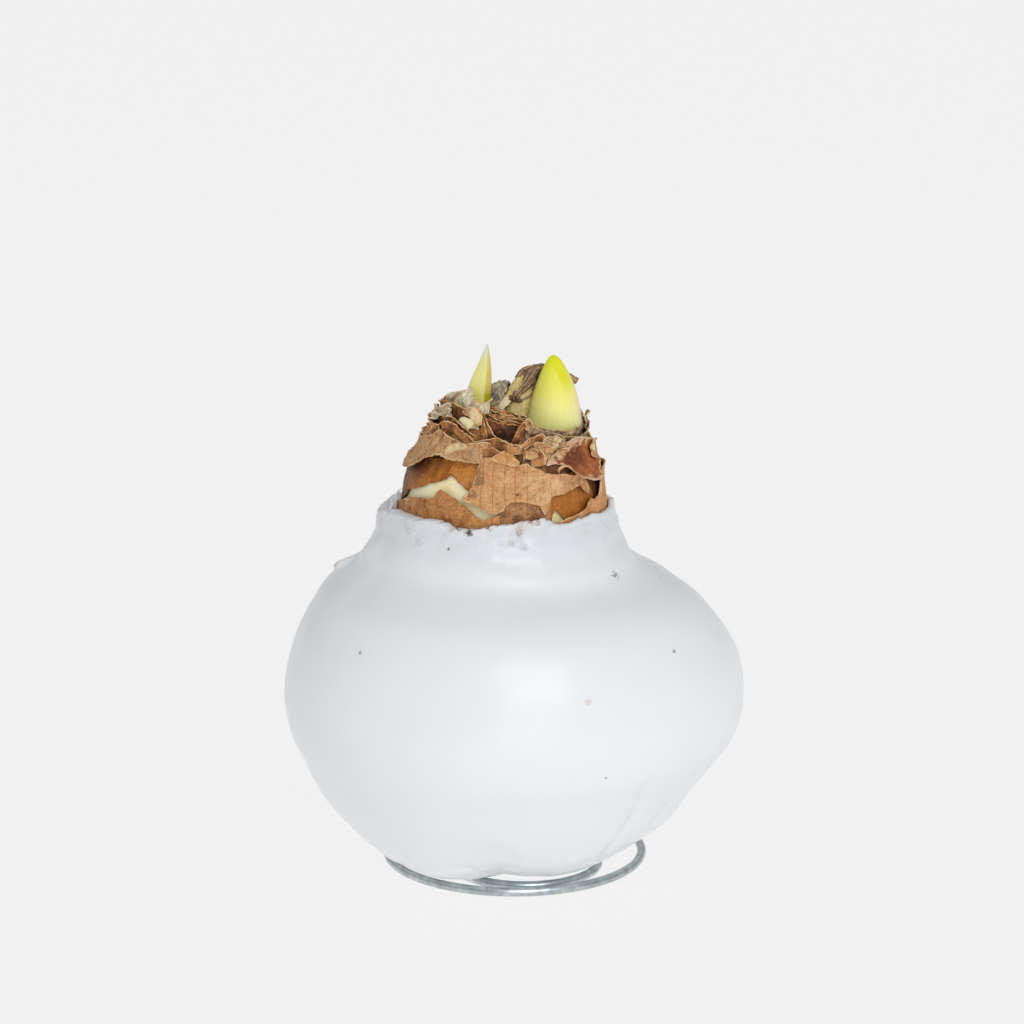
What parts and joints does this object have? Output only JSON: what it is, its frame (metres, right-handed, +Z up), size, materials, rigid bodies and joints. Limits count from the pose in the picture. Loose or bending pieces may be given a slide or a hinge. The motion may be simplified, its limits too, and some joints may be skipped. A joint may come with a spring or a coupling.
{
  "type": "waxed amaryllis bulb",
  "caption": "Flower bulb dipped in thick white wax on a coiled wire stand, with torn brown papery tunics at its neck and young yellow-green shoots.",
  "frame": {"origin": "on the ground, under the middle of the bulb", "axes": "+Z up, -Y is the front, +X to the right seen from the front"},
  "size_m": [0.1034, 0.1034, 0.1187],
  "materials": {
    "galvanised_wire": "galvanised, dull satin",
    "wax": "poured wax, soft gloss",
    "bulb_flesh": "fresh bulb flesh, waxy satin",
    "amber_skin": "thin smooth dry skin, satin",
    "tan_tunic": "dry papery tunic, matt",
    "brown_tunic": "dry papery tunic, matt",
    "red_brown_tunic": "dry curled tunic, matt",
    "grey_brown_tunic": "dry crumpled tunic, matt",
    "withered_leaf": "withered leaf, matt",
    "pale_shoot": "young leaf, satin",
    "bright_shoot": "young leaf, satin"
  },
  "bodies": {
    "root": {"wire_stand": "galvanised_wire", "wax_coat": "wax", "bulb": "bulb_flesh", "tunic_skin": "amber_skin", "tunic_patch": "tan_tunic", "tunic_veined": "tan_tunic", "tunic_wrap": "tan_tunic", "tunic_skirt": "brown_tunic", "tunic_fold": "brown_tunic", "tunic_flap": "red_brown_tunic", "tunic_back": "brown_tunic", "tunic_upper": "brown_tunic", "tunic_collar": "grey_brown_tunic", "tunic_crown": "grey_brown_tunic", "old_leaf": "withered_leaf", "shoot_left": "pale_shoot", "shoot_right": "bright_shoot"}
  },
  "joints": []
}
